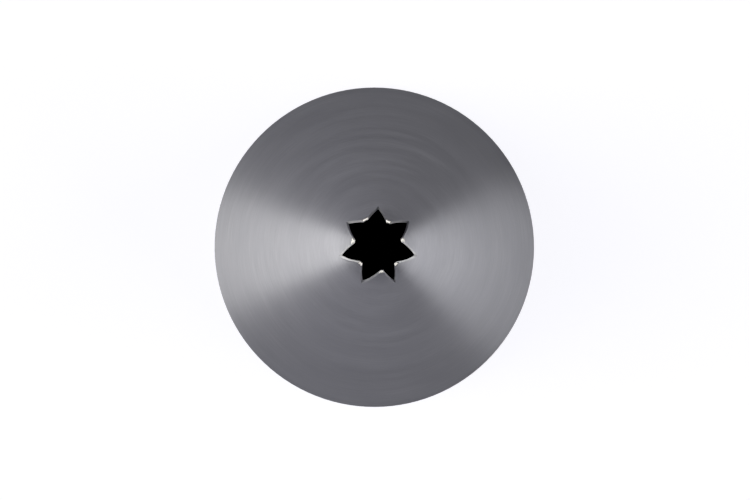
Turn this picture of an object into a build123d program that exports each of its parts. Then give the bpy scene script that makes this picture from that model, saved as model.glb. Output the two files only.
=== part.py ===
from build123d import *
import os
from math import atan2, cos, degrees, radians, sin, sqrt

# Piping nozzle: a sheet metal cone that stands on its wide mouth, star tip up.
# Millimetres, +Z from the mouth to the tip, origin at the middle of the mouth, +Y towards the seam.

# Driving dimensions of the cone
base_diameter = 35.0     # outside, across the mouth: the size that fits bags and couplers
height = 50.0            # from the mouth to the ground tip
sheet = 0.3              # thickness of the steel sheet
root_diameter = 7.95     # outside, across the roots of the notches
rim_round = 0.08         # both edges of the mouth, broken so that they don't cut the bag

# Driving dimensions of the star
tooth_count = 7
tooth_height = 2.95      # from the roots of the notches up to the ground tip
notch_mouth = 1.64       # width of a notch at the tip
tooth_bend = 17.0        # degrees that a tooth's end leans in beyond the cone's own slope

# The teeth are cut and bent one by one, so each stands a little differently.
# Turn of each notch as a share of the pitch, then lean to the side of each tooth as a share of
# half a notch mouth, then bend of each tooth as a share of the full bend.
notch_turn_shares = (0.0, 0.02, 0.02, 0.023, -0.014, -0.014, 0.014)
tooth_lean_shares = (0.03, 0.0, 0.15, 0.34, -0.23, 0.07, 0.15)
tooth_bend_shares = (0.06, 0.87, 1.02, 0.92, 1.02, 0.98, 0.7)

# Driving dimensions of the seam
seam_width = 0.5         # melted zone between the two edges of the blank
seam_crown = 0.1         # how far the middle of the bead stands proud inside
seam_toe = 0.025         # how far its two sides stand proud of the sheet that they join

overrun = 1.0            # every cutter reaches this far past what it cuts

# The straight cone, from the mouth up to the notch roots
base_radius = base_diameter / 2
root_radius = root_diameter / 2
root_height = height - tooth_height
slope = atan2(base_radius - root_radius, root_height)
level_sheet = sheet / cos(slope)     # the sheet's thickness measured level
pitch = 360 / tooth_count


def cone_profile():
    """Half section of the straight cone, with its two mouth edges rounded."""
    corners = [
        (base_radius, 0),
        (root_radius, root_height),
        (root_radius - level_sheet, root_height),
        (base_radius - level_sheet, 0),
    ]
    section = make_face(Polyline(*corners, close=True))
    mouth_corners = section.vertices().group_by(Axis.Y)[0]
    return Plane.XZ * fillet(mouth_corners, rim_round)


def tooth_profile(bend):
    """Half section of one tooth: the sheet leaves the cone on a tangent arc and is ground level."""
    end_slope = slope + radians(bend)
    bend_radius = tooth_height / (sin(end_slope) - sin(slope))
    centre_radius = root_radius - bend_radius * cos(slope)
    rise = bend_radius * sin(end_slope)
    outer_end = centre_radius + bend_radius * cos(end_slope)
    inner_end = centre_radius + sqrt((bend_radius - sheet) ** 2 - rise ** 2)
    outer_root = (root_radius, root_height)
    inner_root = (root_radius - level_sheet, root_height)
    up_the_cone = (-sin(slope), cos(slope))
    outside = TangentArc(outer_root, (outer_end, height), tangent=up_the_cone)
    inside = TangentArc(inner_root, (inner_end, height), tangent=up_the_cone)
    ground_end = Line((outer_end, height), (inner_end, height))
    seat = Line(inner_root, outer_root)
    return Plane.XZ * make_face([outside, ground_end, inside, seat])


def share(shares, index):
    """The entry of a list of shares that belongs to one notch or tooth, counted round the star."""
    return shares[index % len(shares)]


def notch_azimuth(index):
    """Degrees from +X to a notch: the first lies over the seam, the rest follow round."""
    turn = share(notch_turn_shares, index % tooth_count)
    return 90 + pitch * (index + turn)


def side_step(index):
    """How far one tooth's end stands to the side of the middle between its notches."""
    return share(tooth_lean_shares, index % tooth_count) * notch_mouth / 2


def notch(index):
    """V-shaped cutter that runs level and outwards through one notch."""
    before = notch_mouth / 2 - side_step(index - 1)
    after = notch_mouth / 2 + side_step(index)
    reach = 1 + overrun / tooth_height
    wedge = Polyline((0, 0), (-after * reach, tooth_height * reach),
                     (before * reach, tooth_height * reach), close=True)
    outward = Vector(1, 0, 0).rotate(Axis.Z, notch_azimuth(index))
    sideways = Vector(0, -1, 0).rotate(Axis.Z, notch_azimuth(index))
    foot = Plane(origin=(0, 0, root_height), x_dir=sideways, z_dir=-outward)
    return extrude(foot * make_face(wedge), amount=-(root_radius + overrun))


def tooth(index):
    """The stretch of bent sheet from one notch to the next, with both notches cut out of it."""
    start = notch_azimuth(index)
    span = notch_azimuth(index + 1) - start
    bend = tooth_bend * share(tooth_bend_shares, index % tooth_count)
    bent = Rot(Z=start) * revolve(tooth_profile(bend), Axis.Z, revolution_arc=span)
    return bent - notch(index) - notch(index + 1)


def nozzle_wall():
    """The whole wall as one body, before the seam is parted from it."""
    cone = revolve(cone_profile(), Axis.Z)
    return cone + [tooth(index) for index in range(tooth_count)]


def seam_slab():
    """The melted zone: a thin upright slab through the wall on the +Y side."""
    depth = base_radius + overrun
    tall = height + 2 * overrun
    return Pos(0, depth / 2, height / 2) * Box(seam_width, depth, tall)


def seam_bead():
    """The part of the bead that stands proud inside: a round ridge along the cone's inner line."""
    half = seam_width / 2
    swell = seam_crown - seam_toe
    ridge_radius = (half ** 2 + swell ** 2) / (2 * swell)
    sunk = ridge_radius - seam_crown
    mid_base = base_radius - level_sheet / 2
    mid_root = root_radius - level_sheet / 2
    inner_line = base_radius - level_sheet + sunk / cos(slope)
    run = (root_height + 2 * overrun) / cos(slope)
    along = Vector(0, -sin(slope), cos(slope))
    start = Vector(0, inner_line, 0) - along * overrun
    ridge = extrude(Plane(origin=start, z_dir=along) * Circle(ridge_radius), amount=run)
    core = Pos(0, 0, root_height / 2) * Cone(mid_base, mid_root, root_height)
    return ridge & core & seam_slab()


wall = nozzle_wall()
nodes = {
    "cone_wall": wall - seam_slab(),
    "seam_weld": (wall & seam_slab()) + seam_bead(),
}

os.makedirs("parts", exist_ok=True)
for name, piece in nodes.items():
    export_step(piece, f"parts/{name}.step")
    solids = piece.solids()
    print(name, len(solids), "solid", round(piece.volume, 3), "mm3", piece.is_valid)
print("slope", round(degrees(slope), 2), "degrees, level sheet", round(level_sheet, 3))
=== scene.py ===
from math import cos, pi, radians, sin, tan

import bmesh
import bpy
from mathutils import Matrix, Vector


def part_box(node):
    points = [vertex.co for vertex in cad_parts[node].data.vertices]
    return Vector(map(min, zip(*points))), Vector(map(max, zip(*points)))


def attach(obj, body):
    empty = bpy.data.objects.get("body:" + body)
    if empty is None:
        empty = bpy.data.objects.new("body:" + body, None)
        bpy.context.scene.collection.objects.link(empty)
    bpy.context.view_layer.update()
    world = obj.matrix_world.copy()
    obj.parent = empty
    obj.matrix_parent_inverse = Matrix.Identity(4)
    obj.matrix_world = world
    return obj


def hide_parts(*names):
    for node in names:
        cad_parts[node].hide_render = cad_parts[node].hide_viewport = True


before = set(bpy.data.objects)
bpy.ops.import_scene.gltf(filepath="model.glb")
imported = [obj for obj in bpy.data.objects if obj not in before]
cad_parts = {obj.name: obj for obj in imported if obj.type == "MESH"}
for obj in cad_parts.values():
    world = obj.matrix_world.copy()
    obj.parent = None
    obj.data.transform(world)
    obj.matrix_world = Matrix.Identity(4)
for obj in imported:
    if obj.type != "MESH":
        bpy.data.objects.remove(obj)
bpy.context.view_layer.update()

# Cone wall
# One blank of 0.3 mm stainless steel sheet, rolled into a cone and polished outside on a lathe.
# Seven V notches are cut into its narrow end, then the teeth between them are bent inwards over
# a die, one by one, and ground level.
mm = 0.001
nozzle_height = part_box("cone_wall")[1].z
mouth_radius = 17.5 * mm          # outside, at the wide end
root_radius = 7.95 / 2 * mm       # outside, where the notches start
tooth_height = 2.95 * mm
root_height = nozzle_height - tooth_height
sheet = 0.3 * mm
notch_mouth = 1.64 * mm           # width of a notch at the tip
tooth_bend = radians(17.0)        # of a tooth's end, past the cone's own slope
rim_round = 0.08 * mm
end_round = 0.08 * mm             # left by the tumbler round the ground end of each tooth
flank_round = 0.035 * mm          # and along the notches, where its stones hardly reach

# The teeth differ a little: turn of each notch as a share of the pitch, lean to the side of each
# tooth as a share of half a notch mouth, and its bend as a share of the full bend. Taking the
# burr off leaves each a little slimmer, again as a share of half a notch mouth.
notch_turn_shares = (0.0, 0.02, 0.02, 0.023, -0.014, -0.014, 0.014)
tooth_lean_shares = (0.03, 0.0, 0.15, 0.34, -0.23, 0.07, 0.15)
tooth_bend_shares = (0.06, 0.87, 1.02, 0.92, 1.02, 0.98, 0.7)
tooth_slim_shares = (0.22, 0.06, 0.05, 0.03, 0.05, 0.08, 0.08)
tooth_count = len(notch_turn_shares)
pitch = 2 * pi / tooth_count
first_notch = pi / 2              # over the seam

columns = 16                      # faces across one tooth and the cone below it
drawn_in_share = 0.5              # how far the inner columns of a tooth draw together at its tip
cone_rows = 20
tooth_rows = 16
rows = cone_rows + tooth_rows
loop_rows = 2 * rows + 2          # up the outside, across the end, down the inside, across the rim
merge_distance = 0.001 * mm

MATH = "ShaderNodeMath"
VECTOR_MATH = "ShaderNodeVectorMath"


def add(tree, kind, inputs=(), out=0, **settings):
    """Adds one node with its settings, fills or links its inputs, and gives one of its outputs.

    Inputs go by place or by name. A Mix node's are 0 for its share, 2 and 3 for numbers, and
    6 and 7 for colours.
    """
    node = tree.nodes.new(kind)
    for name, value in settings.items():
        setattr(node, name, value)
    for key, value in inputs.items() if isinstance(inputs, dict) else enumerate(inputs):
        if isinstance(value, bpy.types.NodeSocket):
            tree.links.new(value, node.inputs[key])
        else:
            node.inputs[key].default_value = value
    return node.outputs[out] if node.outputs else node


def colour(code):
    """Linear colour of an sRGB hex code."""
    parts = [int(code[place:place + 2], 16) / 255 for place in (1, 3, 5)]
    return [p / 12.92 if p <= 0.04045 else ((p + 0.055) / 1.055) ** 2.4 for p in parts] + [1.0]


def material(name):
    """An empty node material, with its tree and its output node."""
    made = bpy.data.materials.new(name)
    made.use_nodes = True
    made.node_tree.nodes.clear()
    return made, made.node_tree, made.node_tree.nodes.new("ShaderNodeOutputMaterial")


# Lathe-polished stainless steel: fine grooves run round the cone, so a lamp smears into a bright
# fan from the mouth to the tip, and from close by the surface shows as faint rings
polished_steel, tree, output = material("lathe-polished stainless steel")
place = add(tree, "ShaderNodeTexCoord", out="Object")
height = add(tree, "ShaderNodeSeparateXYZ", [place], out="Z")


def rings(tree, place, spacing, arcs):
    """Noise drawn out round the axis: ring spacing in metres, and how many arcs make a turn."""
    level = add(tree, VECTOR_MATH, [place, (1.0, 1.0, 0.0)], operation="MULTIPLY")
    round_way = add(tree, VECTOR_MATH, [level], operation="NORMALIZE")
    drawn = add(tree, VECTOR_MATH, {0: round_way, "Scale": arcs / (2 * pi)}, operation="SCALE")
    upwards = (0.0, 0.0, 1 / spacing)
    spot = add(tree, VECTOR_MATH, [place, upwards, drawn], operation="MULTIPLY_ADD")
    return add(tree, "ShaderNodeTexNoise", {"Vector": spot, "Scale": 1.0, "Detail": 2.0}, out="Fac")


def in_the_world(tree, direction):
    """A direction given on the piece, turned with it, as the shader takes it."""
    return add(tree, "ShaderNodeVectorTransform", [direction], vector_type="NORMAL",
               convert_from="OBJECT", convert_to="WORLD")


# Grooves of 600 grit are 0.02 mm apart, too fine for the render, so they are drawn at 0.25 mm
grooves = rings(tree, place, 0.25 * mm, 24)
bands = rings(tree, place, 2.2 * mm, 5)
clouds = add(tree, "ShaderNodeTexNoise", {"Vector": place, "Scale": 1 / (6 * mm), "Detail": 3.0}, out="Fac")
tone = add(tree, "ShaderNodeMix", {0: clouds, 6: colour("#afafb5"), 7: colour("#c5c5c9")},
           out=2, data_type="RGBA")
groove_tone = add(tree, "ShaderNodeMapRange", [grooves, 0.3, 0.7, 0.0, 0.8])
tone = add(tree, "ShaderNodeMix", {0: groove_tone, 6: tone, 7: colour("#b0b0b5")}, out=2, data_type="RGBA")
# Painted shade: the steel's colour is made darker towards the mouth, where the fans of the lamps fade
mouth_painted_shade = add(tree, "ShaderNodeMapRange", [height, 0.0, nozzle_height, 0.75, 1.0])
tone = add(tree, VECTOR_MATH, {0: tone, "Scale": mouth_painted_shade}, operation="SCALE")
haze = add(tree, "ShaderNodeMapRange", [bands, 0.3, 0.7, 0.53, 0.57])
relief = add(tree, "ShaderNodeBump", {"Strength": 0.15, "Distance": 0.01 * mm, "Height": grooves})
groove_way = add(tree, VECTOR_MATH, [(0.0, 0.0, 1.0), place], operation="CROSS_PRODUCT")
steel = add(tree, "ShaderNodeBsdfPrincipled", {
    "Base Color": tone, "Metallic": 1.0, "Roughness": haze, "Anisotropic": 1.0,
    "Anisotropic Rotation": 0.25, "Normal": relief, "Tangent": in_the_world(tree, groove_way),
}, distribution="GGX")
tree.links.new(steel, output.inputs["Surface"])

# Rolled stainless steel, inside: the mill's dull satin finish with its fine rolling grain, never
# polished, and a breath of straw beside the weld where the heat ran
satin_steel, tree, output = material("rolled stainless steel, mill satin")
place = add(tree, "ShaderNodeTexCoord", out="Object")
clouds = add(tree, "ShaderNodeTexNoise", {"Vector": place, "Scale": 1 / (4 * mm), "Detail": 4.0}, out="Fac")
tone = add(tree, "ShaderNodeMix", {0: clouds, 6: colour("#97989b"), 7: colour("#acadaf")},
           out=2, data_type="RGBA")
# The mill's grain is 0.05 mm wide, too fine for the render, so it is drawn at 0.3 mm
grain = rings(tree, place, 0.3 * mm, 6)
grain_tone = add(tree, "ShaderNodeMapRange", [grain, 0.3, 0.7, 0.0, 0.6])
tone = add(tree, "ShaderNodeMix", {0: grain_tone, 6: tone, 7: colour("#8b8c8f")}, out=2, data_type="RGBA")
spot = add(tree, "ShaderNodeSeparateXYZ", [place]).node.outputs
from_seam = add(tree, MATH, [spot["X"]], operation="ABSOLUTE")
on_seam_side = add(tree, MATH, [spot["Y"], 0.0], operation="GREATER_THAN")
heated = add(tree, "ShaderNodeMapRange", [from_seam, 0.25 * mm, 1.3 * mm, 0.7, 0.0])
heated = add(tree, MATH, [heated, on_seam_side], operation="MULTIPLY")
tone = add(tree, "ShaderNodeMix", {0: heated, 6: tone, 7: colour("#a08f74")}, out=2, data_type="RGBA")
haze = add(tree, "ShaderNodeMapRange", [clouds, 0.3, 0.7, 0.46, 0.54])
relief = add(tree, "ShaderNodeBump", {"Strength": 0.15, "Distance": 0.01 * mm, "Height": grain})
steel = add(tree, "ShaderNodeBsdfPrincipled", {
    "Base Color": tone, "Metallic": 1.0, "Roughness": haze, "Normal": relief})
tree.links.new(steel, output.inputs["Surface"])

# Sheared stainless steel: the flanks of the notches. The punch drags the sheet's outer skin a
# little way down them, so they carry on the shine of the outside, paler where they are torn, with
# painted shade darkening the root of each notch.
sheared_steel, tree, output = material("sheared stainless steel")
place = add(tree, "ShaderNodeTexCoord", out="Object")
level = add(tree, VECTOR_MATH, [place, (1.0, 1.0, 0.0)], operation="MULTIPLY")
round_way = add(tree, VECTOR_MATH, [level], operation="NORMALIZE")
drag_tilt = radians(62)
dragged = add(tree, VECTOR_MATH, [round_way, (0.0, 0.0, tan(drag_tilt))])
stretched = add(tree, "ShaderNodeMapping", {
    "Vector": place, "Scale": (1 / (0.1 * mm), 1 / (0.1 * mm), 1 / (0.5 * mm))})
tears = add(tree, "ShaderNodeTexNoise", {"Vector": stretched, "Scale": 1.0, "Detail": 2.0}, out="Fac")
tone = add(tree, "ShaderNodeMix", {0: tears, 6: colour("#bebec0"), 7: colour("#d4d4d4")},
           out=2, data_type="RGBA")
height = add(tree, "ShaderNodeSeparateXYZ", [place], out="Z")
# Painted shade: the flanks' colour is darker towards the root of each notch
root_shade_reach = 0.7 * mm
root_painted_shade = add(tree, "ShaderNodeMapRange", [height, root_height, root_height + root_shade_reach, 0.55, 1.0])
tone = add(tree, VECTOR_MATH, {0: tone, "Scale": root_painted_shade}, operation="SCALE")
haze = add(tree, "ShaderNodeMapRange", [tears, 0.3, 0.7, 0.3, 0.34])
# The drag marks run on from the grooves outside, turned most of the way into the flank
turned_in_share = 0.85
drag_way = add(tree, VECTOR_MATH, [(0.0, 0.0, 1.0), place], operation="CROSS_PRODUCT")
drag_way = in_the_world(tree, drag_way)
facing = add(tree, "ShaderNodeNewGeometry", out="Normal")
out_of_flank = add(tree, VECTOR_MATH, [drag_way, facing], out="Value", operation="DOT_PRODUCT")
out_of_flank = add(tree, MATH, [out_of_flank, turned_in_share], operation="MULTIPLY")
out_of_flank = add(tree, VECTOR_MATH, {0: facing, "Scale": out_of_flank}, operation="SCALE")
drag_way = add(tree, VECTOR_MATH, [drag_way, out_of_flank], operation="SUBTRACT")
steel = add(tree, "ShaderNodeBsdfPrincipled", {
    "Base Color": tone, "Metallic": 1.0, "Roughness": haze, "Anisotropic": 1.0,
    "Anisotropic Rotation": 0.25, "Normal": in_the_world(tree, dragged), "Tangent": drag_way,
}, distribution="GGX")
tree.links.new(steel, output.inputs["Surface"])

# Ground stainless steel: the level ends of the teeth and the rim, bright, with straight scratches
# from the belt
ground_steel, tree, output = material("ground stainless steel edge")
place = add(tree, "ShaderNodeTexCoord", out="Object")
stretched = add(tree, "ShaderNodeMapping", {
    "Vector": place, "Scale": (1 / (3 * mm), 1 / (0.06 * mm), 1 / (0.3 * mm))})
scratches = add(tree, "ShaderNodeTexNoise", {"Vector": stretched, "Scale": 1.0, "Detail": 2.0}, out="Fac")
tone = add(tree, "ShaderNodeMix", {0: scratches, 6: colour("#e0ddd5"), 7: colour("#efede7")},
           out=2, data_type="RGBA")
haze = add(tree, "ShaderNodeMapRange", [scratches, 0.3, 0.7, 0.12, 0.16])
steel = add(tree, "ShaderNodeBsdfPrincipled", {"Base Color": tone, "Metallic": 1.0, "Roughness": haze})
tree.links.new(steel, output.inputs["Surface"])

# One point for each tooth carries what makes it differ from the next
marks = bpy.data.meshes.new("tooth marks")
marks.from_pydata([(0.0, 0.0, 0.0)] * tooth_count, [], [])
starts = [first_notch + pitch * (index + turn) for index, turn in enumerate(notch_turn_shares)]
ends = starts[1:] + [starts[0] + 2 * pi]
tooth_facts = {
    "start": starts,
    "span": [end - start for start, end in zip(starts, ends)],
    "lean": tooth_lean_shares,
    "slim": tooth_slim_shares,
    "bend": [tooth_bend * part for part in tooth_bend_shares],
}
for name, values in tooth_facts.items():
    marks.attributes.new(name, "FLOAT", "POINT").data.foreach_set("value", values)

# The tree folds a flat strip round the wall's section: across runs from notch to notch, row up
# the wall, and side is 0 outside and 1 inside. Then it bends the strip to each tooth's own shape.
tree = bpy.data.node_groups.new("notched cone", "GeometryNodeTree")
tree.interface.new_socket("Geometry", in_out="INPUT", socket_type="NodeSocketGeometry")
tree.interface.new_socket("Geometry", in_out="OUTPUT", socket_type="NodeSocketGeometry")
wall_sizes = {
    "Mouth radius": mouth_radius, "Root radius": root_radius, "Root height": root_height,
    "Tooth height": tooth_height, "Sheet": sheet, "Notch mouth": notch_mouth,
}
wall_sockets = {
    name: tree.interface.new_socket(name, in_out="INPUT", socket_type="NodeSocketFloat")
    for name in wall_sizes
}
given = tree.nodes.new("NodeGroupInput").outputs
flat = add(tree, "ShaderNodeSeparateXYZ", [add(tree, "GeometryNodeInputPosition")]).node.outputs

wide = add(tree, MATH, [flat["X"], 0.5])
long = add(tree, MATH, [flat["Y"], 0.5])
long = add(tree, MATH, [long, float(loop_rows)], operation="MULTIPLY")
back = add(tree, MATH, [float(2 * rows + 1), long], operation="SUBTRACT")
row = add(tree, MATH, [long, back], operation="MINIMUM")
row = add(tree, MATH, [row, 0.0], operation="MAXIMUM")
side = add(tree, MATH, [long, 1.5 * rows + 1, 0.5 * rows + 0.5], operation="COMPARE")
skin = add(tree, "GeometryNodeMeshGrid", [1.0, 1.0, columns + 1, loop_rows + 1])
folded = add(tree, "ShaderNodeCombineXYZ", [wide, row, side])
parts = [add(tree, "GeometryNodeSetPosition", {"Geometry": skin, "Position": folded})]

for share_across in (0.0, 1.0):
    flank = add(tree, "GeometryNodeMeshGrid", [1.0, float(tooth_rows), 2, tooth_rows + 1])
    up_flank = add(tree, MATH, [flat["Y"], cone_rows + tooth_rows / 2])
    folded = add(tree, "ShaderNodeCombineXYZ", [share_across, up_flank, wide])
    parts.append(add(tree, "GeometryNodeSetPosition", {"Geometry": flank, "Position": folded}))
joined = tree.nodes.new("GeometryNodeJoinGeometry")
for part in parts:
    tree.links.new(part, joined.inputs[0])
ring = add(tree, "GeometryNodeInstanceOnPoints", {
    "Points": given["Geometry"], "Instance": joined.outputs[0]})
ring = add(tree, "GeometryNodeRealizeInstances", [ring])

across, row, side = flat
facts = {
    name: add(tree, "GeometryNodeInputNamedAttribute", {"Name": name}, data_type="FLOAT")
    for name in tooth_facts
}
taper = add(tree, MATH, [given["Mouth radius"], given["Root radius"]], operation="SUBTRACT")
slope = add(tree, MATH, [taper, given["Root height"]], operation="ARCTAN2")
slope_sine = add(tree, MATH, [slope], operation="SINE")
slope_cosine = add(tree, MATH, [slope], operation="COSINE")
level_sheet = add(tree, MATH, [given["Sheet"], slope_cosine], operation="DIVIDE")
up = add(tree, MATH, [row, float(cone_rows)], operation="DIVIDE", use_clamp=True)
past = add(tree, MATH, [row, float(cone_rows)], operation="SUBTRACT")
over = add(tree, MATH, [past, float(tooth_rows)], operation="DIVIDE", use_clamp=True)
tooth_rise = add(tree, MATH, [over, given["Tooth height"]], operation="MULTIPLY")
rise = add(tree, MATH, [up, given["Root height"], tooth_rise], operation="MULTIPLY_ADD")

# The straight cone's radius at this row and side
narrowed = add(tree, MATH, [up, taper], operation="MULTIPLY")
outside = add(tree, MATH, [given["Mouth radius"], narrowed], operation="SUBTRACT")
depth = add(tree, MATH, [side, level_sheet], operation="MULTIPLY")
straight = add(tree, MATH, [outside, depth], operation="SUBTRACT")

# The tooth's radius there: an arc that leaves the cone without a kink
end_slope = add(tree, MATH, [slope, facts["bend"]])
end_sine = add(tree, MATH, [end_slope], operation="SINE")
turn = add(tree, MATH, [end_sine, slope_sine], operation="SUBTRACT")
bend_radius = add(tree, MATH, [given["Tooth height"], turn], operation="DIVIDE")
set_back = add(tree, MATH, [bend_radius, slope_cosine], operation="MULTIPLY")
centre = add(tree, MATH, [given["Root radius"], set_back], operation="SUBTRACT")
depth = add(tree, MATH, [side, given["Sheet"]], operation="MULTIPLY")
arm = add(tree, MATH, [bend_radius, depth], operation="SUBTRACT")
lift = add(tree, MATH, [bend_radius, slope_sine, tooth_rise], operation="MULTIPLY_ADD")
arm_square = add(tree, MATH, [arm, arm], operation="MULTIPLY")
lift_square = add(tree, MATH, [lift, lift], operation="MULTIPLY")
reach = add(tree, MATH, [arm_square, lift_square], operation="SUBTRACT")
curved = add(tree, MATH, [centre, add(tree, MATH, [reach], operation="SQRT")])
in_tooth = add(tree, MATH, [over, 0.0], operation="GREATER_THAN")
radius = add(tree, "ShaderNodeMix", {0: in_tooth, 2: straight, 3: curved})

# Both notches open evenly from their roots to the tip
half_mouth = add(tree, MATH, [given["Notch mouth"], 0.5], operation="MULTIPLY")
opened = add(tree, MATH, [over, half_mouth], operation="MULTIPLY")
opened = add(tree, MATH, [opened, radius], operation="DIVIDE")
slimmer = add(tree, MATH, [1.0, facts["slim"]])
before = add(tree, MATH, [slimmer, facts["lean"]])
before = add(tree, MATH, [before, opened], operation="MULTIPLY")
after = add(tree, MATH, [slimmer, facts["lean"]], operation="SUBTRACT")
after = add(tree, MATH, [after, opened], operation="MULTIPLY")
first = add(tree, MATH, [facts["start"], add(tree, MATH, [before], operation="ARCSINE")])
last = add(tree, MATH, [facts["start"], facts["span"]])
last = add(tree, MATH, [last, add(tree, MATH, [after], operation="ARCSINE")], operation="SUBTRACT")

# Towards the tip the inner columns draw together, which leaves room for the rounded notch edges
off_middle = add(tree, MATH, [across, 0.5], operation="SUBTRACT")
off_middle = add(tree, MATH, [off_middle], operation="ABSOLUTE")
is_inner = add(tree, MATH, [off_middle, 0.5 - 0.5 / columns], operation="LESS_THAN")
drawn_in = add(tree, MATH, [over, is_inner], operation="MULTIPLY")
drawn_in = add(tree, MATH, [drawn_in, drawn_in_share], operation="MULTIPLY")
column = add(tree, "ShaderNodeMix", {0: drawn_in, 2: across, 3: 0.5})
azimuth = add(tree, "ShaderNodeMix", {0: column, 2: first, 3: last})
out_x = add(tree, MATH, [radius, add(tree, MATH, [azimuth], operation="COSINE")], operation="MULTIPLY")
out_y = add(tree, MATH, [radius, add(tree, MATH, [azimuth], operation="SINE")], operation="MULTIPLY")
bent = add(tree, "ShaderNodeCombineXYZ", [out_x, out_y, rise])

flat_place = add(tree, "GeometryNodeInputPosition")
marked = add(tree, "GeometryNodeStoreNamedAttribute", {
    "Geometry": ring, "Name": "laid", "Value": flat_place}, data_type="FLOAT_VECTOR", domain="POINT")
wall = add(tree, "GeometryNodeSetPosition", {"Geometry": marked, "Position": bent})
wall = add(tree, "GeometryNodeMergeByDistance", {"Geometry": wall, "Distance": merge_distance})
laid = add(tree, "GeometryNodeInputNamedAttribute", {"Name": "laid"}, data_type="FLOAT_VECTOR")
laid = add(tree, "GeometryNodeFieldOnDomain", [laid], data_type="FLOAT_VECTOR", domain="FACE")
laid = add(tree, "ShaderNodeSeparateXYZ", [laid]).node.outputs
inside = add(tree, MATH, [laid["Z"], 0.75], operation="GREATER_THAN")
cut = add(tree, MATH, [laid["Z"], 0.5, 0.25], operation="COMPARE")
level_cut = add(tree, MATH, [laid["Y"], rows / 2, rows / 2 - 0.25], operation="COMPARE")
level_cut = add(tree, MATH, [cut, level_cut], operation="SUBTRACT")
finish_of = (
    (True, polished_steel), (inside, satin_steel), (cut, sheared_steel), (level_cut, ground_steel))
for chosen, finish in finish_of:
    wall = add(tree, "GeometryNodeSetMaterial", {
        "Geometry": wall, "Selection": chosen, "Material": finish})
tree.links.new(wall, tree.nodes.new("NodeGroupOutput").inputs[0])


def grown(name, start_mesh, tree, sockets, sizes):
    """The plain mesh object that a tree makes from a start mesh, with the tree's inputs set."""
    seed = bpy.data.objects.new(name + " seed", start_mesh)
    bpy.context.scene.collection.objects.link(seed)
    modifier = seed.modifiers.new("grow", "NODES")
    modifier.node_group = tree
    for socket_name, socket in sockets.items():
        modifier[socket.identifier] = sizes[socket_name]
    shown = seed.evaluated_get(bpy.context.evaluated_depsgraph_get())
    mesh = bpy.data.meshes.new_from_object(shown)
    mesh.name = name
    bpy.data.objects.remove(seed)
    made = bpy.data.objects.new(name, mesh)
    bpy.context.scene.collection.objects.link(made)
    return made


cone_wall = grown("notched_cone", marks, tree, wall_sockets, wall_sizes)

# The faces turn outwards, and each cut edge is marked for its rounding
finishes = list(cone_wall.data.materials)
tooth_end = finishes.index(ground_steel)
work = bmesh.new()
work.from_mesh(cone_wall.data)
bmesh.ops.recalc_face_normals(work, faces=work.faces)
weight = work.edges.layers.float.new("bevel_weight_edge")
cut_edge_angle = radians(40)
for face in work.faces:
    face.smooth = True
for edge in work.edges:
    if edge.calc_face_angle_signed() > cut_edge_angle:
        if max(vertex.co.z for vertex in edge.verts) < sheet:
            edge[weight] = rim_round / end_round
        elif tooth_end in [face.material_index for face in edge.link_faces]:
            edge[weight] = 1.0
        else:
            edge[weight] = flank_round / end_round
work.to_mesh(cone_wall.data)
work.free()
for name in (*tooth_facts, "laid"):
    cone_wall.data.attributes.remove(cone_wall.data.attributes[name])
rounding = cone_wall.modifiers.new("tumbled edges", "BEVEL")
rounding.limit_method = "WEIGHT"
rounding.width = end_round
rounding.segments = 4
rounding.harden_normals = True
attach(cone_wall, "root")
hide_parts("cone_wall")

# Seam weld
# The bead along the blank's two edges, the same steel melted by a plasma torch and set in fine
# ripples. Ground flush outside, it stands 0.1 mm proud inside, up to the first notch.
seam_width = 0.5 * mm
seam_crown = 0.1 * mm
ripple_spacing = 0.4 * mm
ripple_height = 0.014 * mm
steps_in_ripple = 6
bead_sides = 20
bead_start = 2 * rim_round        # up from the mouth
fade_out = 1.0 * mm               # where the torch lifted off, short of the notch

# As-welded stainless steel: bright silver ripples with a breath of straw from the heat
weld_steel, tree, output = material("as-welded stainless steel")
place = add(tree, "ShaderNodeTexCoord", out="Object")
clouds = add(tree, "ShaderNodeTexNoise", {"Vector": place, "Scale": 1 / (1.5 * mm), "Detail": 3.0},
             out="Fac")
tone = add(tree, "ShaderNodeMix", {0: clouds, 6: colour("#a79f92"), 7: colour("#b9b7b4")},
           out=2, data_type="RGBA")
haze = add(tree, "ShaderNodeMapRange", [clouds, 0.3, 0.7, 0.28, 0.4])
steel = add(tree, "ShaderNodeBsdfPrincipled", {"Base Color": tone, "Metallic": 1.0, "Roughness": haze})
tree.links.new(steel, output.inputs["Surface"])

tree = bpy.data.node_groups.new("weld bead", "GeometryNodeTree")
tree.interface.new_socket("Geometry", in_out="INPUT", socket_type="NodeSocketGeometry")
tree.interface.new_socket("Geometry", in_out="OUTPUT", socket_type="NodeSocketGeometry")
bead_sizes = {
    "Width": seam_width, "Crown": seam_crown, "Ripple spacing": ripple_spacing,
    "Ripple height": ripple_height, "Fade out": fade_out, "End height": root_height,
}
bead_sockets = {
    name: tree.interface.new_socket(name, in_out="INPUT", socket_type="NodeSocketFloat")
    for name in bead_sizes
}
given = tree.nodes.new("NodeGroupInput").outputs
half_width = add(tree, MATH, [given["Width"], 0.5], operation="MULTIPLY")
line = add(tree, "GeometryNodeMeshToCurve", [given["Geometry"]])
step = add(tree, MATH, [given["Ripple spacing"], float(steps_in_ripple)], operation="DIVIDE")
line = add(tree, "GeometryNodeResampleCurve", {"Curve": line, "Length": step}, mode="LENGTH")
section = add(tree, "GeometryNodeCurvePrimitiveCircle", {"Resolution": bead_sides, "Radius": 1.0})
flattened = add(tree, "ShaderNodeCombineXYZ", [half_width, given["Crown"], 1.0])
section = add(tree, "GeometryNodeTransform", {"Geometry": section, "Scale": flattened})
bead = add(tree, "GeometryNodeCurveToMesh", {"Curve": line, "Profile Curve": section, "Fill Caps": True})

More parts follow.
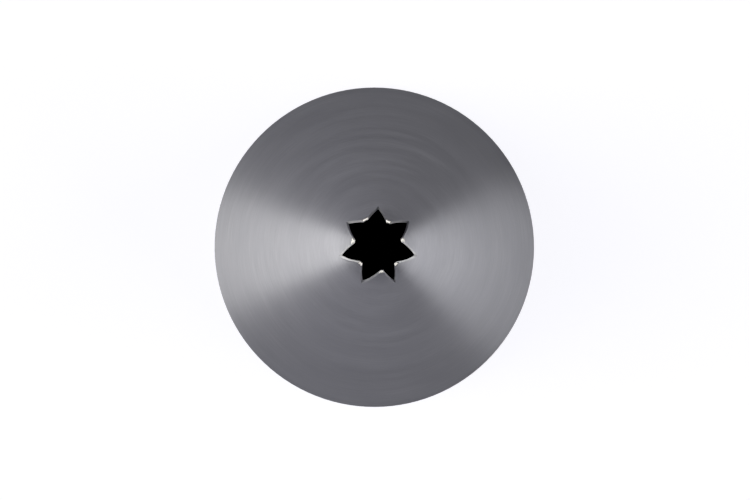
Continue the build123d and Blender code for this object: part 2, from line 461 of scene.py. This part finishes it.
# The ripples are crescents: each is a wave up the seam that lags towards the sides of the bead
place = add(tree, "ShaderNodeSeparateXYZ", [add(tree, "GeometryNodeInputPosition")]).node.outputs
sideways = add(tree, MATH, [place["X"], half_width], operation="DIVIDE")
lag = add(tree, MATH, [sideways, sideways], operation="MULTIPLY")
turns = add(tree, MATH, [place["Z"], given["Ripple spacing"]], operation="DIVIDE")
wave = add(tree, MATH, [turns, lag])
wave = add(tree, MATH, [wave, 2 * pi], operation="MULTIPLY")
wave = add(tree, MATH, [wave], operation="SINE")
domed = add(tree, MATH, [1.0, lag], operation="SUBTRACT", use_clamp=True)
ripple = add(tree, MATH, [wave, domed], operation="MULTIPLY")
ripple = add(tree, MATH, [ripple, given["Ripple height"]], operation="MULTIPLY")
left = add(tree, MATH, [given["End height"], place["Z"]], operation="SUBTRACT")
left = add(tree, MATH, [left, given["Fade out"]], operation="DIVIDE", use_clamp=True)
sunk = add(tree, MATH, [left, 1.0], operation="SUBTRACT")
sunk = add(tree, MATH, [sunk, given["Crown"]], operation="MULTIPLY")
proud = add(tree, MATH, [ripple, sunk])
down_the_wall = Vector((0.0, mouth_radius - root_radius, -root_height))
inwards = down_the_wall.cross(Vector((1.0, 0.0, 0.0))).normalized()
moved = add(tree, VECTOR_MATH, {0: inwards, "Scale": proud}, operation="SCALE")
bead = add(tree, "GeometryNodeSetPosition", {"Geometry": bead, "Offset": moved})
bead = add(tree, "GeometryNodeRealizeInstances", [bead])
bead = add(tree, "GeometryNodeSetMaterial", {"Geometry": bead, "Material": weld_steel})
tree.links.new(bead, tree.nodes.new("NodeGroupOutput").inputs[0])

# It runs up the inside of the wall on the +Y side
lean_in = (mouth_radius - root_radius) / root_height
inner_mouth = mouth_radius - sheet * (1 + lean_in ** 2) ** 0.5
seam_line = bpy.data.meshes.new("seam line")
seam_line.from_pydata(
    [(0.0, inner_mouth - lean_in * z, z) for z in (bead_start, root_height - seam_crown)], [(0, 1)], [])
seam_weld = grown("seam_bead", seam_line, tree, bead_sockets, bead_sizes)
seam_weld.data.shade_smooth()
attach(seam_weld, "root")
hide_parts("seam_weld")

# Floor
# A sheet of matt white paper under the nozzle. It shows white in the picture and in the steel,
# and keeps part of the nozzle's shadow. The spot under the mouth is painted black as shade.
floor_reach = 20.0
floor_level = -0.01 * mm          # a hair below the rim, so that the two faces don't flicker
floor_mesh = bpy.data.meshes.new("paper floor")
floor_mesh.from_pydata(
    [(x * floor_reach, y * floor_reach, floor_level) for x, y in ((-1, -1), (1, -1), (1, 1), (-1, 1))],
    [], [(0, 1, 2, 3)])
floor = bpy.data.objects.new("paper_floor", floor_mesh)
bpy.context.scene.collection.objects.link(floor)
paper, tree, output = material("matt white paper")
place = add(tree, "ShaderNodeTexCoord", out="Object")
out_from_axis = add(tree, VECTOR_MATH, [place], out="Value", operation="LENGTH")
# Painted shade: under the mouth the paper is painted black and gives no glow
clear_of_painted_black_spot = add(tree, MATH, [out_from_axis, mouth_radius - sheet], operation="GREATER_THAN")
# A painted shadow on the paper, seen only in the steel, near the rim and away from the front left
shade_middle = (18.6 * mm, 9.2 * mm, 0.0)
shade_turn = (0.0, 0.0, radians(27))
shade_reach = (7 * mm, 8 * mm, 1.0)
by_shade = add(tree, "ShaderNodeMapping", {
    "Vector": place, "Location": shade_middle, "Rotation": shade_turn, "Scale": shade_reach,
}, vector_type="TEXTURE")
by_shade = add(tree, VECTOR_MATH, [by_shade], out="Value", operation="LENGTH")
clear_of_painted_shadow = add(tree, "ShaderNodeMapRange", [by_shade, 0.0, 1.0, 0.1, 1.0],
                   interpolation_type="SMOOTHSTEP")
rays = add(tree, "ShaderNodeLightPath").node.outputs
glow_in_steel = 0.745
in_steel = add(tree, MATH, [rays["Is Glossy Ray"], clear_of_painted_shadow], operation="MULTIPLY")
in_steel = add(tree, MATH, [in_steel, glow_in_steel], operation="MULTIPLY")
directly = add(tree, MATH, [rays["Is Camera Ray"], rays["Is Transmission Ray"]], operation="MAXIMUM")
# Close to the nozzle more of the paper is lit by the lamps alone, which keeps the nozzle's shadow
near_glow = 0.68
far_glow = 0.77
glow_share = add(tree, "ShaderNodeMapRange", [out_from_axis, 60 * mm, 300 * mm, near_glow, far_glow])
directly = add(tree, MATH, [directly, glow_share], operation="MULTIPLY")
seen = add(tree, MATH, [directly, in_steel], operation="MAXIMUM")
seen = add(tree, MATH, [seen, clear_of_painted_black_spot], operation="MULTIPLY")
tone = add(tree, "ShaderNodeMix", {0: clear_of_painted_black_spot, 6: colour("#010101"), 7: colour("#f4f4f4")},
           out=2, data_type="RGBA")
card = add(tree, "ShaderNodeBsdfDiffuse", {"Color": tone})
glow_strength = 1.3               # shares of this and of the lit paper add up to white
glow = add(tree, "ShaderNodeEmission", {"Color": colour("#fafaff"), "Strength": glow_strength})
shown = add(tree, "ShaderNodeMixShader", {0: seen, 1: card, 2: glow})
tree.links.new(shown, output.inputs["Surface"])
floor_mesh.materials.append(paper)

# Lamps
# Two upright softboxes left and right of the nozzle, the left one larger and further off, a small
# one straight overhead, and dim light from the room that is a little stronger from the front left.


def softbox(name, azimuth, distance, width, low, high, lean, radiance, tint="#ffffff"):
    """A lamp that faces the nozzle: where it stands, how wide, from where to where, its lean outwards."""
    lamp = bpy.data.lights.new(name, "AREA")
    lamp.color = colour(tint)[:3]
    lamp.shape = "RECTANGLE"
    lamp.size = width
    lamp.size_y = (high - low) / cos(radians(lean))
    lamp.energy = radiance * pi * lamp.size * lamp.size_y
    holder = bpy.data.objects.new(name, lamp)
    bpy.context.scene.collection.objects.link(holder)
    middle = (low + high) / 2
    out = distance + middle * tan(radians(lean))
    holder.location = (out * cos(radians(azimuth)), out * sin(radians(azimuth)), middle)
    holder.rotation_euler = (radians(90 + lean), 0.0, radians(azimuth + 90))
    holder.visible_camera = False
    return holder


softbox("left softbox", azimuth=181.6, distance=0.443, width=0.333, low=0.040, high=0.823,
        lean=-11.5, radiance=2.12, tint="#fffef9")
softbox("right softbox", azimuth=-8.4, distance=0.107, width=0.191, low=0.053, high=0.424,
        lean=18.9, radiance=1.91)
overhead = softbox("top lamp", azimuth=0.0, distance=0.0, width=0.08, low=-0.04, high=0.04,
                   lean=0.0, radiance=2.1)
overhead.location = (0.01, 0.002, 1.2)
overhead.rotation_euler = (0.0, 0.0, 0.0)

world = bpy.data.worlds.new("room")
world.use_nodes = True
tree = world.node_tree
direction = add(tree, "ShaderNodeTexCoord", out="Generated")
room_strength = 0.274             # of the walls; it fades to nothing overhead
front_left = (-0.13, -0.088, 0.0)
front_left_share = add(tree, VECTOR_MATH, [direction, front_left], out="Value", operation="DOT_PRODUCT")
level = add(tree, VECTOR_MATH, [direction, (1.0, 1.0, 0.0)], operation="MULTIPLY")
level_share = add(tree, VECTOR_MATH, [level], out="Value", operation="LENGTH")
dim = add(tree, MATH, [level_share, room_strength, front_left_share],
          operation="MULTIPLY_ADD", use_clamp=True)
tree.nodes["Background"].inputs["Color"].default_value = colour("#efefff")
tree.links.new(dim, tree.nodes["Background"].inputs["Strength"])
bpy.context.scene.world = world

# Camera
# Half a metre above the nozzle and almost on its axis, as in the photograph.
camera_data = bpy.data.cameras.new("camera")
camera_data.sensor_width = 36.0
camera_data.lens = 218.7
camera_data.clip_start = 0.05
camera_data.clip_end = 50.0
camera = bpy.data.objects.new("camera", camera_data)
bpy.context.scene.collection.objects.link(camera)
camera.location = (-4.015 * mm, -0.809 * mm, 498.52 * mm)
camera.rotation_euler = (radians(0.0581), radians(-0.4693), 0.0)
bpy.context.scene.camera = camera
bpy.context.scene.view_settings.view_transform = "Standard"
